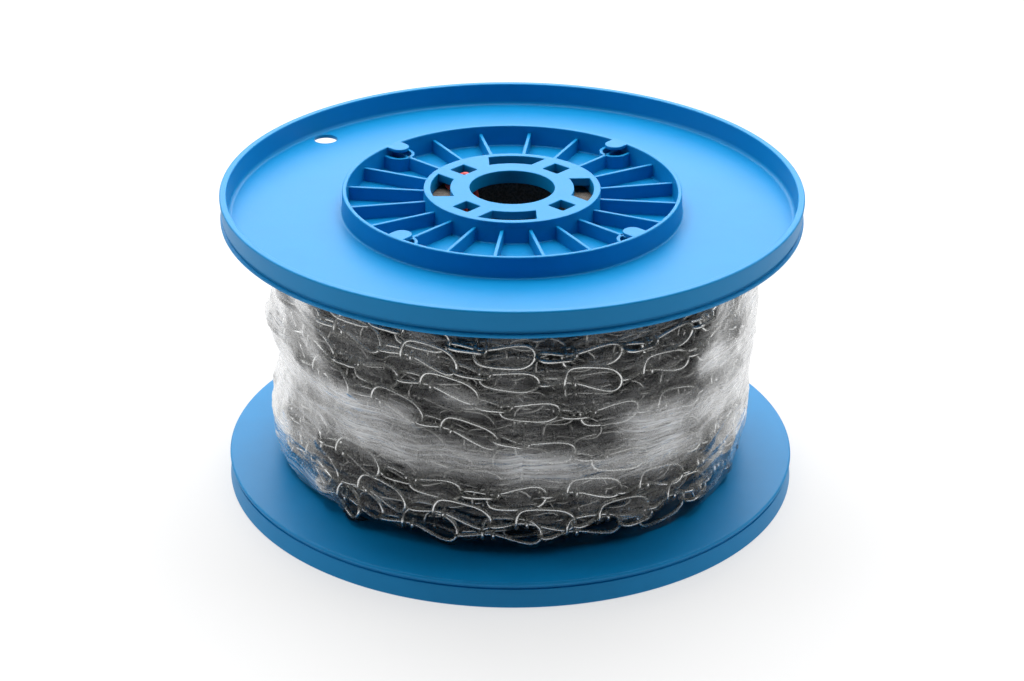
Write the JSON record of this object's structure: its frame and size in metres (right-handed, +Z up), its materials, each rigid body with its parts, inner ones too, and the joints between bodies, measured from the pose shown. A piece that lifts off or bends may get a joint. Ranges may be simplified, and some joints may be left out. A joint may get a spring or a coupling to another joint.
{
  "type": "reel of knotted steel chain",
  "caption": "Blue plastic reel standing on one flange, wound with bright knotted steel chain and wrapped in clear film.",
  "frame": {"origin": "on the floor under the reel's axis, at the centre of the lower flange's rim", "axes": "+Z up along the reel's axis; the hub's arc slots lie on +X, +Y, -X and -Y"},
  "size_m": [0.206, 0.206, 0.1107],
  "materials": {
    "reel_plastic": "moulded blue plastic, satin",
    "cardboard": "grey-brown wound board",
    "chain_steel": "bright zinc-plated wire",
    "clear_film": "clear crumpled film",
    "red_sheath": "soft plastic sheath"
  },
  "bodies": {
    "root": {"lower_flange": "reel_plastic", "upper_flange": "reel_plastic", "core_tube": "cardboard", "chain_winding": "chain_steel", "film_wrap": "clear_film", "red_tie": "red_sheath"}
  },
  "joints": []
}
